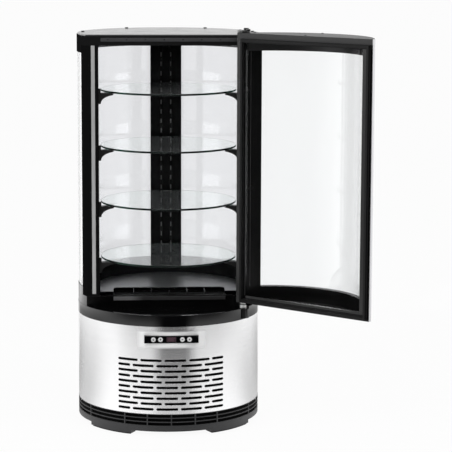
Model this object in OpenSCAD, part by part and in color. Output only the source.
// Round refrigerated cake display case, standing on a counter, with its bow door open.
// Millimetres. The origin is on the case's axis at counter level, -Y is the front and +Z is up.

/* [Body] */
// Diameter of the round body
body_d = 462; // [450:1:480]
// Distance from the axis to the flat front of the glazed cabinet
front_flat = 98; // [95:0.5:101]
// Height of the skirt's lower edge above the counter
skirt_lift = 11; // [9:0.5:14]
// Height of the louvred skirt
skirt_h = 44; // [42:0.5:50]
// Height of the steel wrap round the machine compartment
wrap_h = 221; // [216:1:240]
// Height of the black rim above the wrap
rim_h = 28; // [26:0.5:34]
// Depth of the deck below the rim
deck_drop = 5; // [4:0.5:6]
// Height of the lower ring, from the deck to the side panes
ring_h = 51; // [49:0.5:56]
// Height of the curved side panes
side_pane_h = 589; // [575:1:620]
// Height of the cap, from the side panes to the top
cap_h = 46; // [43:0.5:50]

/* [Skirt and feet] */
// Thickness of the skirt's wall
skirt_wall = 4; // [3:0.5:5]
// Thickness of the base tray's floor
tray_floor = 3; // [2.5:0.5:4]
// Height of one louvre slot
louvre_h = 7.8; // [6:0.1:8.2]
// Height of the bar between two louvre rows
louvre_bar = 2.2; // [2:0.1:2.6]
// Width of a louvre rib, as an angle
louvre_rib = 0.7; // [0.6:0.1:1.5]
// Direction of each foot lobe, measured from the front or the back
lobe_azimuth = 42.5; // [38:0.5:46]
// Angle that a foot lobe spans
lobe_span = 34; // [28:1:38]
// Radial width of a foot lobe
lobe_w = 36; // [32:1:44]
// Thickness of the rubber pad under a lobe
pad_h = 3; // [2:0.5:4]
// Distance from the base's edge to the middle of a foot fixing
fixing_inset = 21; // [18:0.5:23]
// Diameter of a foot fixing hole
fixing_d = 6; // [4:0.5:8]

/* [Steel wrap] */
// Thickness of the steel sheet
sheet_t = 0.8; // [0.6:0.1:1.2]
// Angle that the removable rear panel spans
rear_span = 60; // [50:1:70]
// Number of slot rows in the front grille
grille_rows = 10; // [6:1:10]
// Height of a grille slot
slot_h = 6.4; // [5:0.1:7]
// Angle that a full grille slot spans
slot_span = 13.5; // [12:0.1:14.4]
// Angle of the web between two slots
slot_web = 1.65; // [1.4:0.05:2.2]
// Half of the angle that the whole grille spans
grille_half = 34.5; // [33.5:0.1:35.5]
// Pitch of the grille's rows
row_pitch = 13.7; // [13:0.1:13.8]
// Height of the lowest slot row above the wrap's lower edge
first_row = 12.5; // [11.5:0.5:14]

/* [Control panel] */
// Width of the control panel
panel_w = 134; // [126:1:140]
// Height of the control panel
panel_h = 18.2; // [17:0.1:20]
// Distance from the wrap's upper edge to the panel's middle
panel_down = 31; // [28:0.5:34]
// Diameter of a push button
button_d = 11.6; // [10:0.1:12.4]
// Distance from the middle to the inner buttons
button_inner = 27; // [25:0.5:28]
// Distance from the middle to the outer buttons
button_outer = 44.5; // [43:0.5:48]
// Travel of a push button
button_travel = 1; // [0.6:0.1:1.2]
// Width of the display window
display_w = 24; // [20:0.5:26]
// Height of the display window
display_h = 13; // [11:0.5:13.5]

/* [Cabinet] */
// Radial thickness of the walls that carry the double panes
wall_w = 17.5; // [17:0.5:20]
// Thickness of every curved pane
pane_t = 4; // [3:0.5:5]
// Distance from the body's outside to the outer face of the outer panes
pane_inset = 2; // [1.6:0.1:3]
// Gap between the inner and the outer pane
pane_gap = 8; // [7:0.5:8]
// Distance from the flat front to the front end of the side panes
jamb_depth = 25; // [22:0.5:28]
// Width of a jamb, from the doorway to the body's outside
jamb_w = 32.5; // [30:0.5:36]
// Height of the sill above the deck
sill_h = 30; // [28.5:0.5:32]
// Height of the floor plate's top above the deck
floor_h = 39; // [38:0.5:42]
// Height of the header, from the doorway's upper edge to the top
header_h = 27; // [26:0.5:30]
// Thickness of the bright plate on top of the cap
cap_plate_t = 3.5; // [3:0.5:4.5]
// Width of the rear column
column_w = 81; // [76:1:90]
// Depth of the rear column, from its face to the body's outside
column_depth = 30.4; // [27:0.1:32]
// Width of the magnetic strips that the door's seal meets
strip_w = 9; // [8:0.5:10]
// Thickness of the magnetic strips
strip_t = 3; // [2:0.5:3.5]

/* [Shelves] */
// Diameter of a glass shelf
shelf_d = 344; // [336:1:350]
// Thickness of a glass shelf
shelf_t = 5; // [4:0.5:6]
// Height of the lowest shelf above the floor plate
shelf_first = 75.5; // [66:0.5:84]
// Pitch of the shelves
shelf_pitch = 142; // [134:1:146]
// Reach of a side bracket
bracket_reach = 37; // [34:0.5:38]
// Height of a bracket
bracket_h = 27; // [24:0.5:30]
// Thickness of a bracket's web
bracket_t = 4; // [3:0.5:5]

/* [Door] */
// Height of the gap between the rim and the door
door_gap = 11; // [9:0.5:13]
// Height of the door above the cap
door_over = 6; // [4:0.5:7]
// Gap between the flat front and the door's inner face, which the seal fills
door_standoff = 10; // [9.5:0.1:10.5]
// Thickness of the flat stiles and rails
rail_t = 8.3; // [7.5:0.1:8.5]
// Width of the flat stiles
stile_w = 27.5; // [26:0.5:29]
// Height of the upper rail
rail_top_h = 24; // [23.5:0.5:28]
// Height of the lower rail
rail_low_h = 20; // [18:0.5:24]
// Height of the curved rim along the bow's upper edge
bow_top_h = 44; // [40:1:50]
// Height of the curved rim along the bow's lower edge
bow_low_h = 40; // [36:1:46]
// Thickness of the trays that close the bow above and below
bow_plate_t = 3; // [2.5:0.5:4]
// Direction of the clear glass's edge, measured from the door's middle
glass_azimuth = 46; // [42:0.5:48]
// Angle that the door stands open
door_open = 139; // [90:1:150]
// Distance from the door's edge to the hinge's axis
hinge_inset = 15; // [14:0.5:17]
// Distance from the door's inner face to the hinge's axis
hinge_out = 10; // [9.5:0.5:11]
// Diameter of the hinge pins
hinge_pin_d = 8; // [6:0.5:9]

/* [Machine compartment] */
// Diameter of the compressor's pot
compressor_d = 124; // [110:1:130]
// Height of the compressor's pot
compressor_h = 120; // [100:1:130]
// Width of the condenser
condenser_w = 200; // [180:1:205]
// Height of the condenser above the tray
condenser_h = 176; // [160:1:180]
// Depth of the condenser
condenser_t = 38; // [32:1:40]
// Diameter of the condenser fan
fan_d = 138; // [120:1:142]
// Number of blades on each fan
fan_blades = 5; // [3:1:7]
// Depth of the insulated well below the deck
well_h = 84; // [80:1:90]
// Outer diameter of the insulated well
well_d = 278; // [270:1:290]
// Wall thickness of the insulated well
well_wall = 19; // [15:1:20]
// Diameter of the evaporator fan
cold_fan_d = 90; // [80:1:92]

/* [Fits] */
// Radial clearance of a running fit
run_clearance = 0.08; // [0.03:0.01:0.1]
// Gap between neighbouring pieces that don't touch
seat_gap = 0.3; // [0.3:0.05:0.5]

/* [Hidden] */
$fn = 96;

black_c = "#1d1d1e";
frame_c = "#2e2e30";
steel_c = "#c9cacb";
grey_c = "#77797b";
rubber_c = "#101010";
glass_c = [0.80, 0.88, 0.87, 0.35];
copper_c = "#b4693a";

// Far enough to cut right through any piece
far = 600;
// Amount that a cutter stands proud of what it cuts
cut = 1;

body_r = body_d / 2;
skin_r = body_r - 0.6;
z_skirt = skirt_lift;
z_wrap = z_skirt + skirt_h;
z_rim = z_wrap + wrap_h;
z_rim_top = z_rim + rim_h;
z_deck = z_rim_top - deck_drop;
z_pane = z_deck + ring_h;
z_cap = z_pane + side_pane_h;
z_top = z_cap + cap_h;
z_cap_top = z_top - cap_plate_t;
z_sill = z_deck + sill_h;
z_floor = z_deck + floor_h;
z_header = z_top - header_h;
z_tray = z_skirt + tray_floor;

rim_w = 8;
deck_t = 4;
rim_in = body_r - rim_w;
wall_in = skin_r - wall_w;
ceiling_t = 4;
jamb_back = front_flat - jamb_depth;
front_wall = 14;
doorway_half = sqrt(pow(skin_r, 2) - pow(front_flat, 2)) - jamb_w;
column_y = skin_r - column_depth;
sill_recess = strip_t;

pane_r = body_r - pane_inset;
pane_in = pane_r - pane_t;
inner_pane_r = pane_in - pane_gap;
inner_pane_in = inner_pane_r - pane_t;
spacer_w = 8;

// Door levels and places, with the door closed
z_door = z_rim_top + door_gap;
z_door_top = z_top + door_over;
door_face = front_flat + door_standoff;
door_back = door_face + rail_t;
door_half = sqrt(pow(body_r, 2) - pow(door_back, 2)) - 0.1;
hinge_x = door_half - hinge_inset;
hinge_y = door_face + hinge_out;
window_half = door_half - stile_w;
seal_w = 10;
seal_t = door_standoff - 0.5;
seal_left = -door_half + 3.5;
seal_right = hinge_x + 0.5;
seal_low = z_door + 2.5;
seal_top = z_door_top - 13.5;
edge_trim_t = 1.5;

module ring(r_in, r_out, z0, z1)
    rotate_extrude() translate([r_in, z0]) square([r_out - r_in, z1 - z0]);

// Azimuths run from the front, -Y, towards +X
module sector(r_in, r_out, z0, z1, a0, a1)
    rotate_extrude(start = a0 - 90, angle = a1 - a0)
        translate([r_in, z0]) square([r_out - r_in, z1 - z0]);

module at_azimuth(a, r)
    rotate([0, 0, a]) translate([0, -r, 0]) children();

module span_box(x0, x1, y0, y1, z0, z1)
    translate([x0, y0, z0]) cube([x1 - x0, y1 - y0, z1 - z0]);

// Round plan with a flat front
module d_plate(r, flat, z0, z1)
    difference() {
        translate([0, 0, z0]) cylinder(r = r, h = z1 - z0);
        span_box(-far, far, -far, -flat, z0 - cut, z1 + cut);
    }

module d_ring(r_in, flat_in, r_out, flat_out, z0, z1)
    difference() {
        d_plate(r_out, flat_out, z0, z1);
        d_plate(r_in, flat_in, z0 - cut, z1 + cut);
    }

module hole(x, y, r, z0, z1)
    translate([x, y, z0]) cylinder(r = r, h = z1 - z0);

module mirrored() {
    children();
    mirror([1, 0, 0]) children();
}

// Skirt, louvres and feet
lobe_azimuths = [lobe_azimuth, -lobe_azimuth, 180 - lobe_azimuth, 180 + lobe_azimuth];
rib_azimuths = [-180, -150, -120, -90, -60, -30, -15, 0, 15, 30, 60, 90, 120, 150, 180];
louvre_rows = 3;
louvre_top = 1.2;

module at_fixings()
    for (a = lobe_azimuths) at_azimuth(a, body_r - fixing_inset) children();

module base_tray() {
    color(frame_c) difference() {
        union() {
            ring(body_r - skirt_wall, body_r, z_skirt, z_wrap);
            translate([0, 0, z_skirt]) cylinder(r = body_r, h = tray_floor);
            for (a = lobe_azimuths)
                sector(body_r - lobe_w, body_r, pad_h, z_skirt + cut, a - lobe_span / 2, a + lobe_span / 2);
        }
        for (row = [0 : louvre_rows - 1], i = [0 : len(rib_azimuths) - 2])
            sector(body_r - skirt_wall - cut, body_r + cut,
                z_wrap - louvre_top - louvre_h - row * (louvre_h + louvre_bar),
                z_wrap - louvre_top - row * (louvre_h + louvre_bar),
                rib_azimuths[i] + louvre_rib / 2, rib_azimuths[i + 1] - louvre_rib / 2);
        at_fixings() cylinder(r = fixing_d / 2, h = z_tray + cut);
    }
}

module rubber_feet() {
    inset = 3;
    color(rubber_c) difference() {
        for (a = lobe_azimuths)
            sector(body_r - lobe_w + inset, body_r - inset, 0, pad_h,
                a - lobe_span / 2 + 1, a + lobe_span / 2 - 1);
        at_fixings() translate([0, 0, -cut]) cylinder(r = fixing_d / 2, h = pad_h + 2 * cut);
    }
}

// Steel wrap with its grille, and the rear panel
wrap_r = body_r - 0.5;
wrap_in = wrap_r - sheet_t;
rear_half = rear_span / 2;
z_panel = z_rim - panel_down;
neck_side = 7;
neck_edge = 2.6;
neck_w = panel_w - 2 * neck_side;
neck_h = panel_h - 2 * neck_edge;
slot_pitch = slot_span + slot_web;
// Depth of a cutter that goes through the curved sheet
through = 8;

// Outline of a slot with round ends, along X
end_steps = 5;
function slot_end(x, r, a0) =
    [for (k = [0 : end_steps]) [x + r * cos(a0 + 180 * k / end_steps), r * sin(a0 + 180 * k / end_steps)]];
module slot_cutter(az, span, z) {
    straight = wrap_r * span * PI / 180 - slot_h;
    at_azimuth(az, wrap_r + 2) translate([0, 0, z]) rotate([90, 0, 0]) mirror([0, 0, 1])
        linear_extrude(height = through)
            polygon(concat(slot_end(straight / 2, slot_h / 2, -90), slot_end(-straight / 2, slot_h / 2, 90)));
}

// Full slots run from one edge of the grille, and a short one ends the row
full_slots = floor((2 * grille_half + slot_web) / slot_pitch);
rest_span = 2 * grille_half - full_slots * slot_pitch;
module grille_row(z, side)
    for (k = [0 : full_slots]) {
        span = k < full_slots ? slot_span : rest_span;
        if (span > 2)
            slot_cutter(side * (-grille_half + k * slot_pitch + span / 2), span, z);
    }

module steel_wrap() {
    color(steel_c) difference() {
        sector(wrap_in, wrap_r, z_wrap, z_rim, rear_half - 180, 180 - rear_half);
        for (row = [0 : grille_rows - 1])
            grille_row(z_wrap + first_row + row * row_pitch, row % 2 == 1 ? 1 : -1);
        span_box(-neck_w / 2 - seat_gap, neck_w / 2 + seat_gap, -far, 0,
            z_panel - neck_h / 2 - seat_gap, z_panel + neck_h / 2 + seat_gap);
    }
}

gland_up = 24;
gland_turn = 12;
gland_z = z_wrap + gland_up;
gland_azimuth = 180 - rear_half + gland_turn;
gland_hole_r = 8;
cable_r = 3.6;
vent_rows = 9;
vent_pitch = 14;
vent_first = 60;
vent_columns = [-12.5, 0, 12.5];
vent_w = 38;

module rear_panel() {
    color(frame_c) difference() {
        sector(wrap_in, wrap_r, z_wrap, z_rim, 180 - rear_half, 180 + rear_half);
        for (row = [0 : vent_rows - 1], a = vent_columns)
            at_azimuth(180 + a, wrap_r) translate([0, 0, z_wrap + vent_first + row * vent_pitch])
                span_box(-vent_w / 2, vent_w / 2, -through / 2, through, 0, slot_h);
        at_azimuth(gland_azimuth, wrap_r + cut) translate([0, 0, gland_z])
            rotate([-90, 0, 0]) cylinder(r = gland_hole_r, h = through);
    }
}

module cable_gland() {
    gland_r = 11;
    boot_l = 9;
    collar_t = 2.4;
    neck_l = 8;
    collar_z = -2 * seat_gap;
    boot_z = collar_z - collar_t - boot_l;
    color(rubber_c) at_azimuth(gland_azimuth, wrap_r) translate([0, 0, gland_z]) rotate([-90, 0, 0])
        difference() {
            union() {
                translate([0, 0, boot_z]) cylinder(r1 = gland_r - 4, r2 = gland_r - 2, h = boot_l);
                translate([0, 0, collar_z - collar_t]) cylinder(r = gland_r, h = collar_t);
                translate([0, 0, collar_z]) cylinder(r = gland_hole_r - seat_gap, h = neck_l);
            }
            translate([0, 0, boot_z - cut]) cylinder(r = cable_r, h = boot_l + collar_t + neck_l + 2 * cut);
        }
}

// Control panel: a flat bezel on the curved wrap
bezel_out = 2;
board_depth = 10;
bezel_y = wrap_r + bezel_out;
button_r = button_d / 2;
button_xs = [-button_outer, -button_inner, button_inner, button_outer];
board_y = bezel_y - board_depth;
button_end = board_y + button_travel + seat_gap;
board_inset = 5;
pocket = 2;

module panel_bore(x, r)
    translate([x, -bezel_y - cut, z_panel]) rotate([-90, 0, 0]) cylinder(r = r, h = board_depth + 2 * cut);

module control_bezel() {
    face_t = 1.5;
    lip = 2;
    color(black_c) difference() {
        union() {
            difference() {
                span_box(-panel_w / 2, panel_w / 2, -bezel_y, -body_r / 2,
                    z_panel - panel_h / 2, z_panel + panel_h / 2);
                ring(0, wrap_r + 0.1, z_panel - panel_h, z_panel + panel_h);
            }
            span_box(-neck_w / 2, neck_w / 2, -bezel_y + face_t, -board_y,
                z_panel - neck_h / 2, z_panel + neck_h / 2);
        }
        for (x = button_xs) panel_bore(x, button_r + run_clearance);
        span_box(-display_w / 2, display_w / 2, -bezel_y - cut, -bezel_y + pocket,
            z_panel - display_h / 2, z_panel + display_h / 2);
        span_box(-display_w / 2 + lip, display_w / 2 - lip, -bezel_y, -board_y + cut,
            z_panel - display_h / 2 + lip, z_panel + display_h / 2 - lip);
    }
}

module display_window() {
    fit = 0.1;
    sunk = 0.4;
    color("#3a1517")
        span_box(-display_w / 2 + fit, display_w / 2 - fit, -bezel_y + sunk, -bezel_y + pocket,
            z_panel - display_h / 2 + fit, z_panel + display_h / 2 - fit);
}

module control_board() {
    board_t = 1.6;
    board_h = 28;
    chip_w = 40;
    chip_h = 16;
    chip_depth = 9;
    board_half = neck_w / 2 - board_inset;
    color("#1f5130") union() {
        span_box(-board_half, board_half, -board_y, -board_y + board_t,
            z_panel - board_h / 2, z_panel + board_h / 2);
        span_box(-chip_w / 2, chip_w / 2, -board_y + board_t - 0.1, -board_y + chip_depth,
            z_panel - chip_h / 2, z_panel + chip_h / 2);
    }
}

module push_button(index) {
    proud = 0.9;
    dish_r = 30;
    dish_depth = 0.35;
    color(steel_c) difference() {
        translate([button_xs[index], -bezel_y - proud, z_panel]) rotate([-90, 0, 0])
            cylinder(r = button_r, h = bezel_y + proud - button_end);
        translate([button_xs[index], -bezel_y - proud - dish_r + dish_depth, z_panel]) sphere(r = dish_r);
    }
}
module button_1() push_button(0);
module button_2() push_button(1);
module button_3() push_button(2);
module button_4() push_button(3);

// Compressor on its grommets
comp_x = -82;
comp_y = 62;
grommet_h = 10;
comp_plate_t = 3;
comp_z = z_tray + grommet_h + comp_plate_t;
comp_r = compressor_d / 2;
comp_dome = 18;
comp_top = comp_z + compressor_h;
crown_r = comp_r - comp_dome;

// Welded seam round the pot, and the terminal box on its side
seam_z = comp_z + 50;
seam_w = 3;
seam_h = 6;
terminal_w = 36;
terminal_h = 34;
terminal_out = 16;

module compressor() {
    grommet_r = 8;
    foot_x = comp_r - 4;
    foot_y = comp_r - 12;
    terminal_z = comp_z + 12;
    color(black_c) translate([comp_x, comp_y, 0]) union() {
        rotate_extrude() polygon(concat(
            [[0, comp_z - 0.1], [comp_r, comp_z - 0.1], [comp_r, seam_z], [comp_r + seam_w, seam_z + 1],
                [comp_r + seam_w, seam_z + seam_h - 1], [comp_r, seam_z + seam_h],
                [comp_r, comp_top - comp_dome]],
            [for (a = [15 : 15 : 90]) [crown_r + comp_dome * cos(a), comp_top - comp_dome * (1 - sin(a))]],
            [[0, comp_top]]));
        span_box(-foot_x - grommet_r, foot_x + grommet_r, -foot_y - grommet_r, foot_y + grommet_r,
            comp_z - comp_plate_t, comp_z);
        for (sx = [-1, 1], sy = [-1, 1])
            hole(sx * foot_x, sy * foot_y, grommet_r, z_tray, comp_z - comp_plate_t + 0.1);
        span_box(comp_r / 2, comp_r + terminal_out, -terminal_w / 2, terminal_w / 2,
            terminal_z, terminal_z + terminal_h);
    }
}

module drip_tray() {
    tray_w = compressor_d - 28;
    tray_h = 16;
    wall = 2;
    color(black_c) translate([comp_x, comp_y, comp_top]) difference() {
        span_box(-tray_w / 2, tray_w / 2, -tray_w / 2, tray_w / 2, 0, tray_h);
        span_box(-tray_w / 2 + wall, tray_w / 2 - wall, -tray_w / 2 + wall, tray_w / 2 - wall,
            wall, tray_h + cut);
    }
}

// Finned coil along X, with its fins square to X. Its tubes stand out at both ends.
tube_out = 6;
module finned_coil(w, y0, y1, z0, z1, fins, tubes, foot) {
    fin_t = 1;
    plate_t = 2;
    tube_r = 4;
    for (k = [0 : fins - 1])
        translate([-w / 2 + (k + 0.5) * w / fins - fin_t / 2, y0, z0]) cube([fin_t, y1 - y0, z1 - z0]);
    for (x = [-w / 2, w / 2 - plate_t])
        span_box(x, x + plate_t, y0, y1, foot, z1);
    for (k = [0 : tubes - 1])
        translate([-w / 2 - tube_out, (y0 + y1) / 2, z0 + (k + 0.5) * (z1 - z0) / tubes])
            rotate([0, 90, 0]) cylinder(r = tube_r, h = w + 2 * tube_out);
}

cond_front = 41 - body_r;
cond_back = cond_front + condenser_t;
cond_foot = 14;
module condenser()
    color("#8b8d90") union()
        finned_coil(condenser_w, cond_front, cond_back, z_tray + cond_foot, z_tray + condenser_h,
            16, 4, z_tray);

fan_r = fan_d / 2;
fan_z = z_tray + condenser_h / 2 + 4;
shroud_y = cond_back + seat_gap;
shroud_r = fan_r + 3;
fan_depth = 20;
fan_hub = 17;
fan_start = shroud_y + 9;
shroud_wall = 3;
shroud_depth = 32;
shroud_back = shroud_y + shroud_depth;

module along_y(y0, y1, r)
    translate([0, y0, fan_z]) rotate([-90, 0, 0]) cylinder(r = r, h = y1 - y0);

module fan_shroud() {
    color(black_c) difference() {
        union() {
            span_box(-condenser_w / 2, condenser_w / 2, shroud_y, shroud_y + shroud_wall,
                z_tray, z_tray + condenser_h);
            along_y(shroud_y, shroud_back, shroud_r + shroud_wall);
        }
        along_y(shroud_y - cut, shroud_back + cut, shroud_r);
    }
}

shaft_r = 3;
module condenser_fan_motor() {
    arm_w = 10;
    arm_l = shroud_r + shroud_wall;
    arm_back = shroud_back + 3;
    motor_r = 22;
    motor_l = 34;
    color(grey_c) union() {
        along_y(shroud_back + seat_gap, shroud_back + motor_l, motor_r);
        along_y(fan_start - cut, shroud_back + cut, shaft_r);
        span_box(-arm_l, arm_l, shroud_back + seat_gap, arm_back, fan_z - arm_w / 2, fan_z + arm_w / 2);
        span_box(-arm_w / 2, arm_w / 2, shroud_back + seat_gap, arm_back, fan_z - arm_l, fan_z + arm_l);
    }
}

// Fan with its axis along Z, from z = 0 upwards
module axial_fan(r, depth, hub_r, bore_r) {
    blade_t = 2;
    pitch = 32;
    difference() {
        union() {
            cylinder(r = hub_r, h = depth);
            intersection() {
                difference() {
                    cylinder(r = r, h = depth);
                    translate([0, 0, -cut]) cylinder(r = hub_r - 1, h = depth + 2 * cut);
                }
                union() for (k = [0 : fan_blades - 1])
                    rotate([0, 0, 360 / fan_blades * k]) translate([0, 0, depth / 2]) rotate([pitch, 0, 0])
                        span_box(0, r + 5, -depth, depth, -blade_t / 2, blade_t / 2);
            }
        }
        translate([0, 0, -cut]) cylinder(r = bore_r, h = depth + 2 * cut);
    }
}

module condenser_fan()
    color(black_c) translate([0, fan_start, fan_z]) rotate([-90, 0, 0])
        axial_fan(fan_r, fan_depth, fan_hub, shaft_r + run_clearance);

// Insulated well with its flat front behind the doorway, evaporator and its fan
well_r = well_d / 2;
well_in = well_r - well_wall;
z_well = z_deck - well_h;
well_floor = 14;
z_well_floor = z_well + well_floor;
well_flange = 10;
flange_t = 2;
liner_flat = front_flat - front_wall - seat_gap;
well_flat = liner_flat - well_flange;

module insulated_well() {
    color("#d8d6cf") difference() {
        union() {
            d_plate(well_r, well_flat, z_well, z_deck + 0.5);
            d_plate(well_r + well_flange, liner_flat, z_deck, z_deck + flange_t);
        }
        d_plate(well_in, well_flat - well_wall, z_well_floor, z_deck + flange_t + cut);
    }
}

evap_y = 46;
evap_t = 38;
evap_w = 160;
evap_h = 56;
evap_foot = 4;
module evaporator()
    color("#a9adb0") union()
        finned_coil(evap_w, evap_y, evap_y + evap_t, z_well_floor + evap_foot, z_well_floor + evap_h, 12, 2,
            z_well_floor);

cold_fan_y = -5;
cold_fan_r = cold_fan_d / 2;
cold_motor_h = 24;
cold_motor_r = 20;
cold_fan_depth = 16;
cold_hub = 14;
cold_rise = 3;
z_cold_motor = z_well_floor + cold_motor_h;
module evaporator_fan_motor() {
    color(grey_c) union() {
        hole(0, cold_fan_y, cold_motor_r, z_well_floor, z_cold_motor);
        hole(0, cold_fan_y, shaft_r, z_cold_motor - cut, z_cold_motor + cold_rise + cold_fan_depth + 1);
    }
}

module evaporator_fan()
    color(black_c) translate([0, cold_fan_y, z_cold_motor + cold_rise])
        axial_fan(cold_fan_r, cold_fan_depth, cold_hub, shaft_r + run_clearance);

// Straight runs of pipe with soldered elbows
pipe_r = 3.2;
module pipe_run(a, b) {
    d = b - a;
    translate(a) {
        if (abs(d[0]) > 0) rotate([0, d[0] > 0 ? 90 : -90, 0]) cylinder(r = pipe_r, h = abs(d[0]));
        if (abs(d[1]) > 0) rotate([d[1] > 0 ? -90 : 90, 0, 0]) cylinder(r = pipe_r, h = abs(d[1]));
        if (abs(d[2]) > 0) mirror([0, 0, d[2] > 0 ? 0 : 1]) cylinder(r = pipe_r, h = abs(d[2]));
    }
}
module pipe(points) {
    for (k = [0 : len(points) - 2]) pipe_run(points[k], points[k + 1]);
    for (k = [1 : len(points) - 2]) translate(points[k]) sphere(r = pipe_r + 0.8);
}

module refrigerant_pipes() {
    hot_down = 24;
    hot_x = condenser_w / 2 + tube_out + pipe_r;
    hot_z = z_tray + condenser_h - hot_down;
    coil_y = (cond_front + cond_back) / 2;
    riser_y = cond_back + 51;
    riser_x = 20;
    stub_z = seam_z + seam_h + 10;
    pipe_gap = 0.1;
    hot_off = comp_x + hot_x;
    pot_front = comp_y - sqrt(pow(comp_r, 2) - pow(abs(hot_off) - pipe_r, 2)) - pipe_gap;
    cold_off = 26;
    pot_side = comp_x + sqrt(pow(comp_r, 2) - pow(cold_off - pipe_r, 2)) + pipe_gap;
    color(copper_c) union() {
        pipe([[-hot_x, coil_y, hot_z], [-hot_x, riser_y, hot_z], [-hot_x, riser_y, stub_z],
            [-hot_x, pot_front, stub_z]]);
        pipe([[pot_side, comp_y + cold_off, stub_z], [riser_x, comp_y + cold_off, stub_z],
            [riser_x, comp_y + cold_off, z_well]]);
    }
}

module electric_box() {
    box_x = 66;
    box_y = 44;
    box_w = 84;
    box_d = 64;
    box_h = 70;
    lid_t = 3;
    brim = 1.5;
    color(grey_c) translate([box_x, box_y, z_tray]) union() {
        cube([box_w, box_d, box_h]);
        translate([-brim, -brim, box_h - 0.1]) cube([box_w + 2 * brim, box_d + 2 * brim, lid_t]);
    }
}

// Rim and deck, with the boss that carries the lower hinge pin
pin_r = hinge_pin_d / 2;
boss_r = 15;
washer_r = pin_r + 4;
washer_h = 8.5;
thrust_h = 2.4;
pin_reach = 10;
pin_sink = 14;

module rim_deck() {
    color(black_c) difference() {
        union() {
            ring(rim_in, body_r, z_rim, z_rim_top);
            difference() {
                translate([0, 0, z_deck - deck_t]) cylinder(r = body_r - 1, h = deck_t);
                d_plate(well_r + seat_gap, well_flat + seat_gap, z_deck - deck_t - cut, z_deck + cut);
            }
            hole(hinge_x, -hinge_y, boss_r, z_rim, z_deck);
        }
        hole(hinge_x, -hinge_y, boss_r - 0.5, z_deck, z_rim_top + cut);
        hole(hinge_x, -hinge_y, pin_r + run_clearance, z_deck - pin_sink, z_deck + cut);
    }
}

// Space of the side panes. They reach into the ring, the cap and the column by the spacer's width.
column_half = column_w / 2;
module pane_space(r_in, r_out, y0, gap) {
    difference() {
        ring(r_in - gap, r_out + gap, z_pane - spacer_w - gap, z_cap + spacer_w + gap);
        span_box(-far, far, -far, y0, z_pane - spacer_w - 1, z_cap + spacer_w + 1);
        span_box(-column_half + spacer_w + gap, column_half - spacer_w - gap, 0, far,
            z_pane - spacer_w - 1, z_cap + spacer_w + 1);
    }
}
module pane_channel() {
    pane_space(inner_pane_in, pane_r, -jamb_back - 1, seat_gap);
}

// Lower ring: it stands on the deck inside the rim, and its upper part covers the rim
module lower_ring() {
    block_w = 16;
    color(black_c) difference() {
        union() {
            d_plate(rim_in - seat_gap, front_flat, z_deck, z_pane);
            d_plate(skin_r, front_flat, z_rim_top, z_pane);
        }
        d_plate(wall_in, front_flat - front_wall, z_deck - cut, z_pane + cut);
        span_box(-far, far, -far, -jamb_back, z_sill, z_pane + cut);
        span_box(-doorway_half + block_w, doorway_half - block_w, -far, -front_flat + sill_recess,
            z_deck - cut, z_sill + cut);
        pane_channel();
    }
}

sill_strip_z = seal_low + (seal_w - strip_w) / 2;
module sill_strip() {
    half = doorway_half - 35;
    color("#9fa1a3")
        span_box(-half, half, -front_flat, -front_flat + strip_t, sill_strip_z, sill_strip_z + strip_w);
}

// Inner liner round the floor, with the trough of the air outlet
liner_inset = 17.9;
liner_r = wall_in - liner_inset;
liner_wall = 4;
liner_drop = 8.5;
liner_top = shelf_z(1) - seat_gap - bracket_h - liner_drop;
ledge_t = 3;
ledge_w = 8;
plate_t = 2;
ledge_z = z_floor - plate_t - ledge_t;
trough_half = doorway_half - 33;
trough_back = 22;
trough_depth = 13;
trough_z = z_sill - trough_depth;
trough_wall = 2;
trough_floor = 3;
// Width of the trough's ledge round its open bottom
vent_edge = 7;
liner_front = liner_flat - liner_wall;

module inner_liner() {
    color(black_c) difference() {
        union() {
            d_ring(liner_r - liner_wall, liner_front, liner_r, liner_flat, z_deck, liner_top);
            difference() {
                d_ring(liner_r - liner_wall - ledge_w, liner_front - cut, liner_r - 1, liner_flat - 1,
                    ledge_z, ledge_z + ledge_t);
                span_box(-trough_half, trough_half, -liner_flat, 0, ledge_z - cut, z_floor);
            }
            span_box(-trough_half, trough_half, -liner_front - 1, -trough_back, trough_z, z_sill);
        }
        span_box(-trough_half + trough_wall, trough_half - trough_wall,
            -liner_front, -trough_back - trough_wall,
            trough_z + trough_floor, z_floor);
        span_box(-trough_half + vent_edge, trough_half - vent_edge, -liner_front + vent_edge,
            -trough_back - trough_wall - vent_edge, trough_z - cut, z_sill);
        span_box(-far, far, -far, -liner_front + seat_gap + cut, z_sill, liner_top + cut);
        d_plate(well_r + well_flange + seat_gap, liner_flat + cut, z_deck - cut, z_deck + flange_t);
    }
}

// Floor plate with its front cut out over the trough
corner_r = 14;
function cut_corner(x, y, a0) =
    [for (k = [0 : 6]) [x + corner_r * cos(a0 + 15 * k), y + corner_r * sin(a0 + 15 * k)]];
module floor_plate() {
    plate_flat = liner_front - seat_gap - 1.5;
    cut_half = trough_half - trough_wall;
    cut_back = -trough_back - trough_wall;
    color("#8a8c8f") difference() {
        d_plate(liner_r - liner_wall - seat_gap, plate_flat, z_floor - plate_t, z_floor);
        translate([0, 0, z_floor - plate_t - cut]) linear_extrude(height = plate_t + 2 * cut)
            polygon(concat([[-cut_half, -far], [cut_half, -far]],
                cut_corner(cut_half - corner_r, cut_back - corner_r, 0),
                cut_corner(-cut_half + corner_r, cut_back - corner_r, 90)));
    }
}

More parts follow.
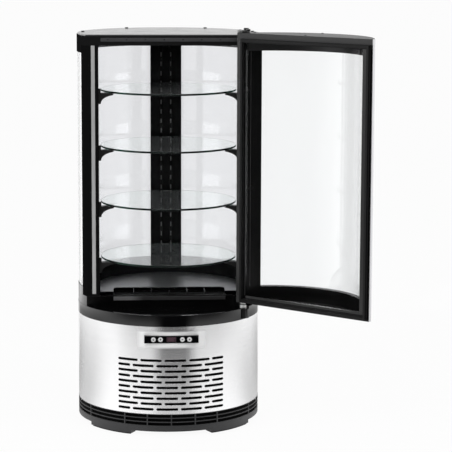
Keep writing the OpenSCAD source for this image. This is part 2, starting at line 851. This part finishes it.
module vent_grille() {
    half = trough_half - trough_wall - seat_gap;
    y0 = -liner_front + seat_gap;
    y1 = -trough_back - trough_wall - seat_gap;
    z0 = trough_z + trough_floor;
    border = 3;
    bars = 9;
    bar_t = 2;
    grille_h = 5;
    rib_pitch = 45;
    rib_t = 2;
    rib_up = 11.5;
    color(black_c) union() {
        difference() {
            span_box(-half, half, y0, y1, z0, z0 + grille_h);
            span_box(-half + border, half - border, y0 + border, y1 - border, z0 - cut, z0 + grille_h + cut);
        }
        for (k = [1 : bars])
            span_box(-half + 2, half - 2, y0 + k * (y1 - y0) / (bars + 1) - bar_t / 2,
                y0 + k * (y1 - y0) / (bars + 1) + bar_t / 2, z0, z0 + grille_h - 1);
        for (k = [-2 : 2])
            span_box(k * rib_pitch - rib_t / 2, k * rib_pitch + rib_t / 2, y0 + 1, y1 - 1,
                z0, z0 + grille_h + rib_up);
    }
}

// Jambs of the doorway. The left one carries the strike strip.
flange_depth = 12;
jamb_lip = 8;
strike_inset = 18;
strike_x = -doorway_half - strike_inset;
strike_low = z_sill + 6;
module jamb() {
    difference() {
        union() {
            difference() {
                d_plate(skin_r, front_flat, z_sill, z_header);
                translate([0, 0, z_sill - cut])
                    cylinder(r = wall_in - jamb_lip, h = z_header - z_sill + 2 * cut);
            }
            span_box(-doorway_half - jamb_w - cut, -doorway_half, -front_flat, -front_flat + flange_depth,
                z_sill, z_header);
        }
        span_box(-far, far, -jamb_back, far, z_sill - cut, z_header + cut);
        span_box(-doorway_half, far, -far, far, z_sill - cut, z_header + cut);
        translate([0, 0, z_sill - cut]) ring(skin_r, far, 0, z_header - z_sill + 2 * cut);
    }
}
module jamb_left() {
    color(black_c) difference() {
        jamb();
        span_box(strike_x - seat_gap / 3, strike_x + strip_w + seat_gap / 3, -front_flat - cut,
            -front_flat + strip_t, strike_low - seat_gap / 3, z_header + cut);
    }
}
module jamb_right()
    color(black_c) mirror([1, 0, 0]) jamb();
module strike_strip()
    color("#b9babb")
        span_box(strike_x, strike_x + strip_w, -front_flat, -front_flat + strip_t, strike_low, z_header);

// Perforated standards for the shelf brackets
standard_w = 8;
standard_t = 2;
standard_x = -doorway_half - standard_w;
standard_gap = 25.2;
perf_pitch = 25;
perf_h = 12;
perf_w = 3;
z_standard = z_pane + 2;
z_standard_top = z_header - 4;
perf_count = floor((z_standard_top - z_standard - perf_h) / perf_pitch);

module standard(x, y) {
    difference() {
        span_box(x, x + standard_w, y, y + standard_t, z_standard, z_standard_top);
        for (k = [0 : perf_count - 1])
            span_box(x + (standard_w - perf_w) / 2, x + (standard_w + perf_w) / 2,
                y - cut, y + standard_t + cut,
                z_standard + 8 + k * perf_pitch, z_standard + 8 + k * perf_pitch + perf_h);
    }
}
module shelf_standards() {
    color("#5a5c5e") {
        mirrored() standard(standard_x, -front_flat + flange_depth);
        mirrored() standard(-standard_gap / 2 - standard_w / 2, column_y - standard_t);
    }
}

// Curved side panes, from the jambs to the rear column
module side_panes(r_in, r_out) {
    pane_space(r_in, r_out, -jamb_back, 0);
}
module side_panes_outer() color(glass_c) side_panes(pane_in, pane_r);
module side_panes_inner() color(glass_c) side_panes(inner_pane_in, inner_pane_r);
module side_pane_spacers() {
    color(grey_c) difference() {
        side_panes(inner_pane_r, pane_in);
        difference() {
            ring(inner_pane_r - cut, pane_in + cut, z_pane, z_cap);
            span_box(-far, far, -far, -jamb_back + spacer_w, z_pane, z_cap);
            span_box(-column_half, column_half, 0, far, z_pane, z_cap);
        }
    }
}

module rear_column() {
    z_post = (z_pane + liner_top) / 2;
    color(black_c) difference() {
        intersection() {
            union() {
                translate([0, 0, z_pane]) cylinder(r = skin_r, h = z_cap - z_pane);
                translate([0, 0, z_post]) cylinder(r = wall_in - seat_gap, h = z_header - z_post);
            }
            span_box(-column_half, column_half, column_y, far, z_deck, z_top);
        }
        pane_channel();
    }
}

// Cap with its ceiling, header and groove for the header strip
header_strip_z = seal_top - seal_w + (seal_w - strip_w) / 2;
header_strip_half = doorway_half - 6;
module top_cap() {
    color(black_c) difference() {
        d_plate(skin_r, front_flat, z_cap, z_cap_top);
        d_plate(wall_in, front_flat - flange_depth, z_cap - cut, z_header);
        d_plate(wall_in, front_flat - flange_depth, z_header + ceiling_t, z_cap_top + cut);
        span_box(-far, far, -far, -jamb_back, z_cap - cut, z_header);
        span_box(-header_strip_half - seat_gap / 3, header_strip_half + seat_gap / 3, -front_flat - cut,
            -front_flat + strip_t, header_strip_z - 0.1, header_strip_z + strip_w + 0.1);
        pane_channel();
    }
}
module cap_plate() {
    inset = 2;
    color(grey_c) difference() {
        d_plate(skin_r - inset, front_flat - inset, z_cap_top, z_top);
        hole(bolt_x, -bolt_y, bolt_r + 0.1, z_cap_top - cut, z_top + cut);
    }
}
module header_strip() {
    color("#3c3d3f")
        span_box(-header_strip_half, header_strip_half, -front_flat, -front_flat + strip_t,
            header_strip_z, header_strip_z + strip_w);
}

screw_azimuths = [152, -152, 100, -100];
module trim_screws() {
    head_r = 4.2;
    head_h = 2;
    screw_inset = 12;
    dot_pitch = 46.5;
    dot_shift = 13;
    dot_r = 1.6;
    dot_h = 0.2;
    color(black_c) for (a = screw_azimuths) at_azimuth(a, skin_r - screw_inset) translate([0, 0, z_top])
        cylinder(r = head_r, h = head_h);
    color(black_c) for (k = [-3 : 3])
        translate([k * dot_pitch - dot_shift, -front_flat - dot_h, header_strip_z + strip_w / 2])
            rotate([-90, 0, 0]) cylinder(r = dot_r, h = dot_h);
}

// Hinge: a raised plate on the cap, an upper and a lower pin
hinge_plate_t = 4;
hinge_plate_z = z_door_top + 0.6;
hinge_foot_half = 14;
bolt_x = hinge_x + 7;
bolt_y = front_flat - 18;
bolt_r = 3;
module hinge_plate() {
    color(black_c) difference() {
        union() {
            span_box(hinge_x - hinge_foot_half, hinge_x + hinge_foot_half, -hinge_y, -front_flat + 32,
                hinge_plate_z, hinge_plate_z + hinge_plate_t);
            hole(hinge_x, -hinge_y, hinge_foot_half, hinge_plate_z, hinge_plate_z + hinge_plate_t);
            span_box(hinge_x - hinge_foot_half, hinge_x + hinge_foot_half, -front_flat + 4, -front_flat + 32,
                z_top, hinge_plate_z + 1);
        }
        hole(bolt_x, -bolt_y, bolt_r + 0.1, z_top - cut, hinge_plate_z + hinge_plate_t + cut);
        hole(hinge_x, -hinge_y, pin_r + run_clearance,
            hinge_plate_z - cut, hinge_plate_z + hinge_plate_t + cut);
    }
}

module hinge_pins() {
    head_h = 1.6;
    nut_r = 6.5;
    nut_h = 5;
    plate_top = hinge_plate_z + hinge_plate_t;
    color(steel_c) {
        union() {
            hole(hinge_x, -hinge_y, pin_r, z_deck - pin_sink + 1, z_door + pin_reach);
            hole(hinge_x, -hinge_y, washer_r, z_deck, z_deck + washer_h);
            hole(hinge_x, -hinge_y, pin_r + 1.6, z_deck + washer_h - 0.1, z_door - seat_gap);
            hole(hinge_x, -hinge_y, washer_r, z_door - seat_gap - thrust_h, z_door - seat_gap);
        }
        union() {
            hole(hinge_x, -hinge_y, pin_r, z_door_top - pin_reach, plate_top + 0.1);
            hole(hinge_x, -hinge_y, pin_r + 2.5, plate_top, plate_top + head_h);
        }
        union() {
            hole(bolt_x, -bolt_y, bolt_r, z_cap_top, plate_top + 0.1);
            translate([bolt_x, -bolt_y, plate_top]) cylinder(r = nut_r, h = nut_h, $fn = 6);
        }
    }
}

// Shelf brackets and shelves
function shelf_z(k) = z_floor + shelf_first + (k - 1) * shelf_pitch;
pad_t = 3;
pad_depth = 20;
tab_h = 11.5;
tip_h = 4.5;
foot_w = 5.5;
foot_hollow = 6;

// Web whose lower edge is hollow between its foot and its tip: x runs inwards, y upwards
function hollow(a, b, c, u) = a * pow(1 - u, 2) + b * 2 * u * (1 - u) + c * pow(u, 2);
module bracket_web(reach, height, foot, t)
    linear_extrude(height = t)
        polygon(concat([[0, 0], [0, -height]],
            [for (k = [0 : 6])
                hollow([foot, -height], [foot, -tip_h - foot_hollow], [reach, -tip_h], k / 6)],
            [[reach, 0]]));

bracket_y = -front_flat + flange_depth + standard_t;
module shelf_bracket_side(k) {
    z = shelf_z(k) - seat_gap;
    union() {
        translate([-doorway_half - standard_w, bracket_y + bracket_t, z]) rotate([90, 0, 0])
            bracket_web(bracket_reach + standard_w, bracket_h, standard_w + foot_w, bracket_t);
        span_box(-doorway_half - standard_w, -doorway_half + bracket_reach, bracket_y, bracket_y + pad_depth,
            z - pad_t, z);
        span_box(-doorway_half - standard_w, -doorway_half + foot_w,
            bracket_y, bracket_y + bracket_t, z - bracket_h, z + tab_h);
    }
}
module shelf_brackets_side()
    color(black_c) for (k = [1 : 4]) mirrored() shelf_bracket_side(k);

// The rear bracket reaches under the shelf's edge, and is never shorter than its own least length
bracket_grip = 10;
bracket_least = 36;
rear_tip = min(shelf_d / 2 - bracket_grip, column_y - standard_t - bracket_least);
module shelf_bracket_rear(k) {
    z = shelf_z(k) - seat_gap;
    reach = column_y - standard_t - rear_tip;
    web_x = standard_gap / 2;
    union() {
        for (s = [-1, 1])
            translate([s * web_x - bracket_t / 2, column_y - standard_t, z]) rotate([90, 0, -90])
                mirror([0, 0, 1]) bracket_web(reach, bracket_h, foot_w, bracket_t);
        span_box(-web_x - 3, web_x + 3, rear_tip, column_y - standard_t, z - pad_t, z);
    }
}
module shelf_brackets_rear()
    color(black_c) for (k = [1 : 4]) shelf_bracket_rear(k);

module glass_shelf(k) {
    edge = 0.8;
    r = shelf_d / 2;
    color([0.55, 0.75, 0.70, 0.5]) translate([0, 0, shelf_z(k)]) rotate_extrude()
        polygon([[0, 0], [r - edge, 0], [r, edge], [r, shelf_t - edge], [r - edge, shelf_t], [0, shelf_t]]);
}
module glass_shelf_1() glass_shelf(1);
module glass_shelf_2() glass_shelf(2);
module glass_shelf_3() glass_shelf(3);
module glass_shelf_4() glass_shelf(4);

// Door, drawn closed and turned about the hinge
bow_in = inner_pane_in - 2;
bush_r = 7;
bush_h = 12;

module opened()
    translate([hinge_x, -hinge_y, 0]) rotate([0, 0, door_open]) translate([-hinge_x, hinge_y, 0]) children();

// Space between the door's inner face and the round front, within the door's width
module bow_space(r, face, z0, z1)
    intersection() {
        translate([0, 0, z0]) cylinder(r = r, h = z1 - z0);
        span_box(-door_half, door_half, -far, -face, z0 - cut, z1 + cut);
    }

// Tray with a rail in front, a plate and a deeper rim along the bow
module bow_tray(z0, z1, rail_z0, rail_z1, plate_z0, plate_z1) {
    union() {
        difference() {
            bow_space(body_r, door_back, z0, z1);
            translate([0, 0, z0 - cut]) cylinder(r = bow_in, h = z1 - z0 + 2 * cut);
        }
        bow_space(bow_in + 1, door_face + 1, plate_z0, plate_z1);
        difference() {
            bow_space(body_r, door_face, rail_z0, rail_z1);
            span_box(-far, far, -far, -door_back - 0.1, rail_z0 - cut, rail_z1 + cut);
        }
    }
}

// The panes reach into the trays and posts by the spacer's width
bite_a = spacer_w / pane_in * 180 / PI;
module bow_pane(r_in, r_out, gap = 0)
    sector(r_in - gap, r_out + gap,
        z_door + bow_low_h - spacer_w - gap, z_door_top - bow_top_h + spacer_w + gap,
        -glass_azimuth - bite_a - gap / 4, glass_azimuth + bite_a + gap / 4);

module door_bow_top() {
    color(frame_c) opened() difference() {
        bow_tray(z_door_top - bow_top_h, z_door_top, z_door_top - rail_top_h, z_door_top,
            z_door_top - bow_plate_t, z_door_top);
        bow_pane(inner_pane_in, pane_r, seat_gap);
        hole(hinge_x, -hinge_y, bush_r + 0.05, z_door_top - bush_h, z_door_top + cut);
    }
}
module door_bow_low() {
    color(frame_c) opened() difference() {
        bow_tray(z_door, z_door + bow_low_h, z_door, z_door + rail_low_h, z_door, z_door + bow_plate_t);
        bow_pane(inner_pane_in, pane_r, seat_gap);
        hole(hinge_x, -hinge_y, bush_r + 0.05, z_door - cut, z_door + bush_h);
    }
}

module door_hinge_bushes() {
    color("#c8c4b4") opened() for (z = [z_door, z_door_top - bush_h]) difference() {
        hole(hinge_x, -hinge_y, bush_r, z, z + bush_h);
        hole(hinge_x, -hinge_y, pin_r + run_clearance, z - cut, z + bush_h + cut);
    }
}

// Stile: a flat strip beside the window and a curved post that holds the panes
module stile(side) {
    z0 = z_door + rail_low_h;
    z1 = z_door_top - rail_top_h;
    x0 = side > 0 ? window_half : -door_half;
    union() {
        span_box(x0, x0 + stile_w, -door_back, -door_face, z0, z1);
        intersection() {
            difference() {
                bow_space(body_r, door_back - 0.1, z_door + bow_low_h, z_door_top - bow_top_h);
                translate([0, 0, z_door]) cylinder(r = bow_in, h = z_door_top - z_door);
                bow_pane(inner_pane_in, pane_r, seat_gap);
            }
            sector(bow_in - 2, body_r + 2, z_door, z_door_top, side > 0 ? glass_azimuth : -90,
                side > 0 ? 90 : -glass_azimuth);
        }
    }
}
module door_stile_hinge() color(frame_c) opened() stile(1);
module door_stile_free() color(frame_c) opened() stile(-1);

module door_pane_outer() color(glass_c) opened() bow_pane(pane_in, pane_r);
module door_pane_inner() color(glass_c) opened() bow_pane(inner_pane_in, inner_pane_r);
module door_pane_spacer() {
    color(grey_c) opened() difference() {
        bow_pane(inner_pane_r, pane_in);
        sector(inner_pane_r - cut, pane_in + cut, z_door + bow_low_h, z_door_top - bow_top_h,
            -glass_azimuth, glass_azimuth);
    }
}

module door_seal() {
    lip = 3;
    color(rubber_c) opened() difference() {
        union() {
            span_box(seal_left, seal_right, -door_face, -door_face + seal_t - lip, seal_low, seal_top);
            span_box(seal_left + 2, seal_right - 2, -door_face + 1, -door_face + seal_t,
                seal_low + 2, seal_top - 2);
        }
        span_box(seal_left + seal_w, seal_right - seal_w, -far, far, seal_low + seal_w, seal_top - seal_w);
        span_box(seal_left + seal_w - 2, seal_right - seal_w + 2, -door_face + seal_t - lip, far,
            seal_low + seal_w - 2, seal_top - seal_w + 2);
    }
}

module door_edge_trim() {
    trim_depth = sqrt(body_r * body_r - door_half * door_half) - door_face;
    color("#b5b6b8") opened()
        span_box(-door_half - edge_trim_t, -door_half, -door_face - trim_depth, -door_face,
            z_door, z_door_top);
}

base_tray();
rubber_feet();
steel_wrap();
rear_panel();
control_bezel();
display_window();
control_board();
button_1();
button_2();
button_3();
button_4();
compressor();
condenser();
fan_shroud();
condenser_fan_motor();
condenser_fan();
refrigerant_pipes();
drip_tray();
electric_box();
cable_gland();
rim_deck();
insulated_well();
evaporator();
evaporator_fan_motor();
evaporator_fan();
lower_ring();
sill_strip();
floor_plate();
vent_grille();
inner_liner();
jamb_left();
jamb_right();
strike_strip();
shelf_standards();
side_panes_outer();
side_panes_inner();
side_pane_spacers();
rear_column();
top_cap();
cap_plate();
header_strip();
trim_screws();
hinge_plate();
hinge_pins();
shelf_brackets_side();
shelf_brackets_rear();
glass_shelf_1();
glass_shelf_2();
glass_shelf_3();
glass_shelf_4();
door_bow_top();
door_bow_low();
door_stile_hinge();
door_stile_free();
door_pane_outer();
door_pane_inner();
door_pane_spacer();
door_seal();
door_hinge_bushes();
door_edge_trim();
